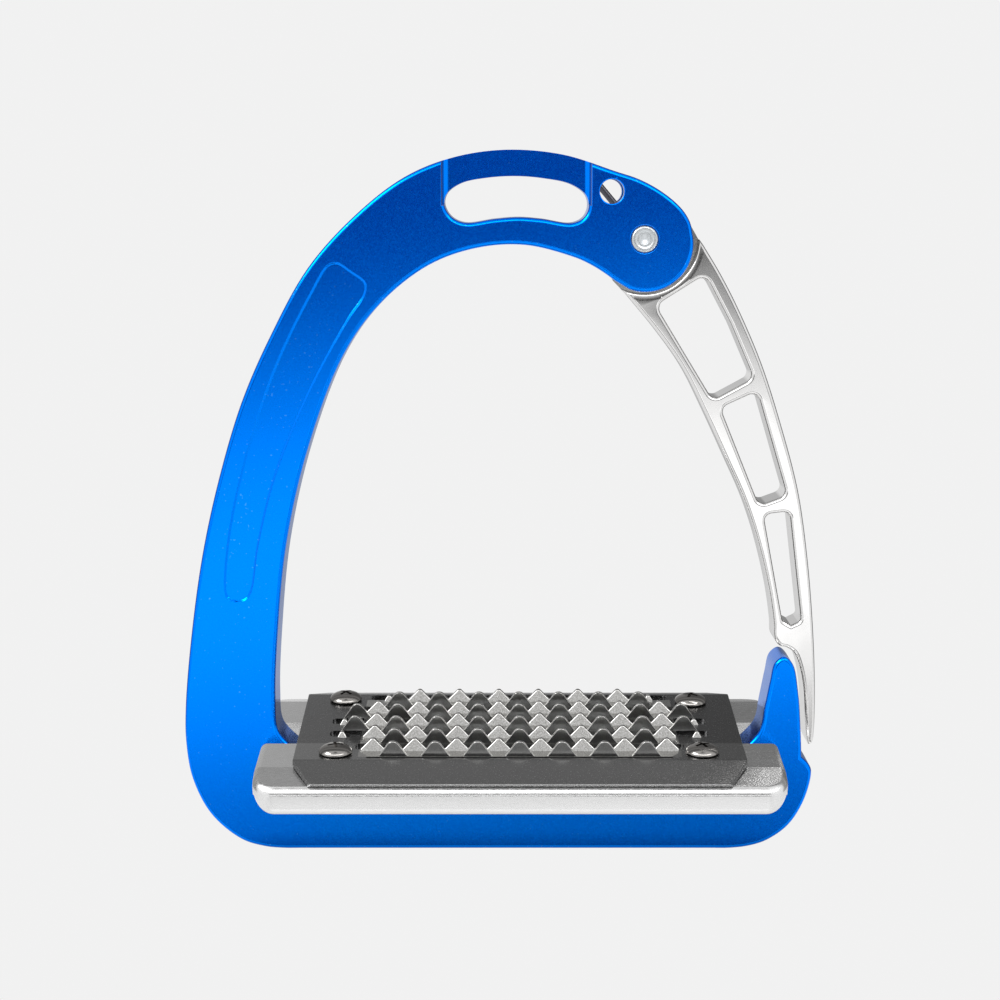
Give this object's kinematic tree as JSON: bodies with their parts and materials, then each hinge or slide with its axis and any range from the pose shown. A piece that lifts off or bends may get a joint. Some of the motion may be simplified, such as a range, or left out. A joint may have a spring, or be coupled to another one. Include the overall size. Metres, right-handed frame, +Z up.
{
  "type": "stirrup iron",
  "caption": "Safety stirrup iron: anodised frame with a leather slot, sprung outer arm that swings open, tread base and toothed grip plate.",
  "frame": {"origin": "middle of the inner tread width, in the frame's middle plane, on the frame's flat bottom face", "axes": "+X across the tread towards the hinged arm, +Y from the front face to the back, +Z up towards the leather slot"},
  "size_m": [0.1576, 0.0661, 0.174],
  "materials": {
    "frame_anodised": "blue anodised, satin",
    "arm_polished": "polished, fine grain",
    "pin_zinc": "zinc plated",
    "bush_bronze": "plain bearing bronze",
    "washer_steel": "ground steel",
    "spring_steel": "dark spring wire",
    "base_polished": "polished casting",
    "plate_satin": "satin stainless sheet",
    "screw_steel": "polished steel"
  },
  "bodies": {
    "frame": {"frame": "frame_anodised", "pivot_pin": "pin_zinc", "pivot_retainer": "pin_zinc", "thrust_washer_front": "washer_steel", "thrust_washer_back": "washer_steel", "return_spring": "spring_steel", "tread_base": "base_polished", "grip_plate": "plate_satin", "plate_screw_1": "screw_steel", "plate_screw_2": "screw_steel", "plate_screw_3": "screw_steel", "plate_screw_4": "screw_steel", "base_screw_left": "screw_steel", "base_screw_right": "screw_steel"},
    "arm": {"release_arm": "arm_polished", "hub_bush": "bush_bronze"}
  },
  "joints": [
    {"name": "arm_release", "type": "hinge", "parent": "frame", "child": "arm", "pos_m": [0.0297, 0, 0.1525], "axis": [0, -1, 0], "range_deg": [0, 65], "stiffness_Nm_per_rad": 0.15, "springref_deg": -20.05, "deforming": ["return_spring"]}
  ]
}
